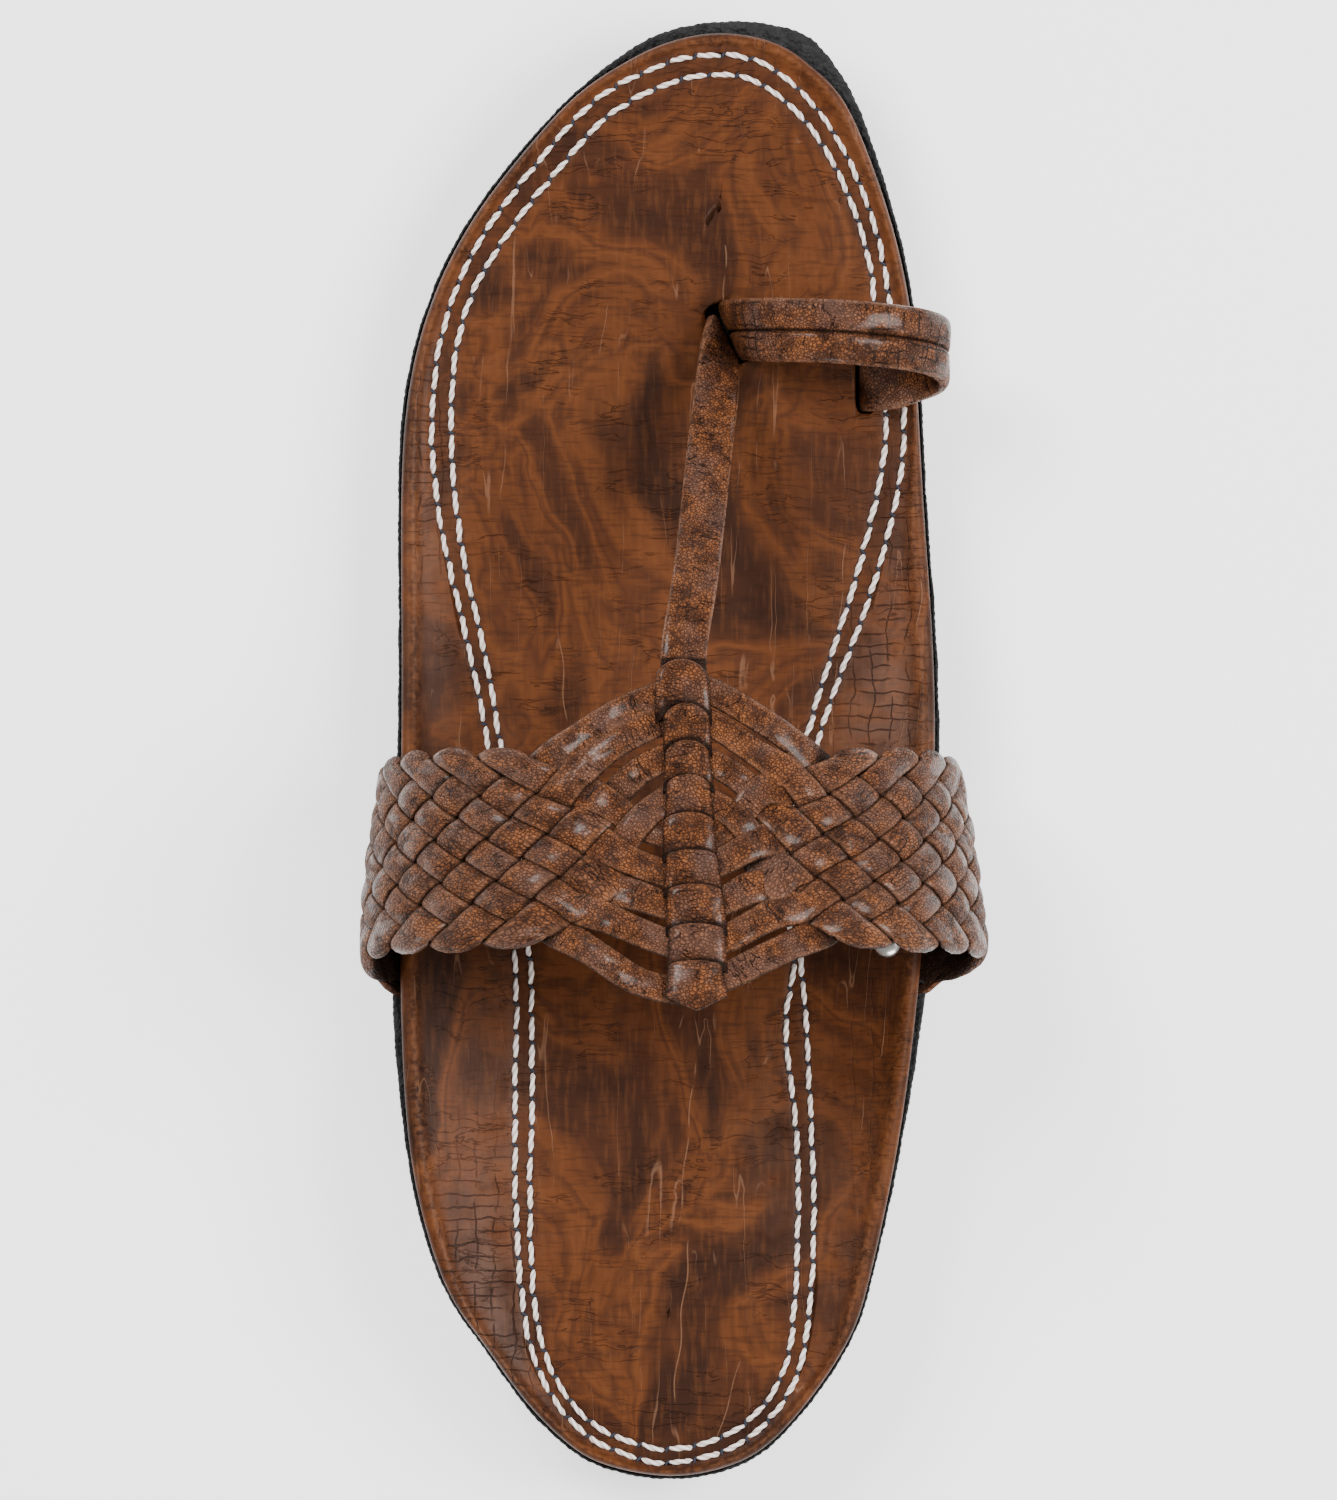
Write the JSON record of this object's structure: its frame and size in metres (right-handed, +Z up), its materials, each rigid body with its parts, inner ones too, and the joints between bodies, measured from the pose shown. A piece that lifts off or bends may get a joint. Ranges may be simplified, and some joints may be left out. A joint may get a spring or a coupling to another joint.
{
  "type": "sandal",
  "caption": "Left leather-look sandal with a woven instep band, a centre strap, a big-toe loop and a dark rubber sole.",
  "frame": {"origin": "on the floor under the middle of the sandal's box", "axes": "+Y from the heel to the toe, +X to the big toe's side, +Z up"},
  "size_m": [0.1184, 0.28, 0.0863],
  "materials": {
    "outsole": "matt granular",
    "footbed": "marbled satin",
    "upper": "pebbled gloss",
    "toe_loop": "pebbled gloss",
    "rivet": "polished"
  },
  "bodies": {
    "root": {"outsole": "outsole", "footbed": "footbed", "upper": "upper", "toe_loop": "toe_loop", "rivet": "rivet"}
  },
  "joints": []
}
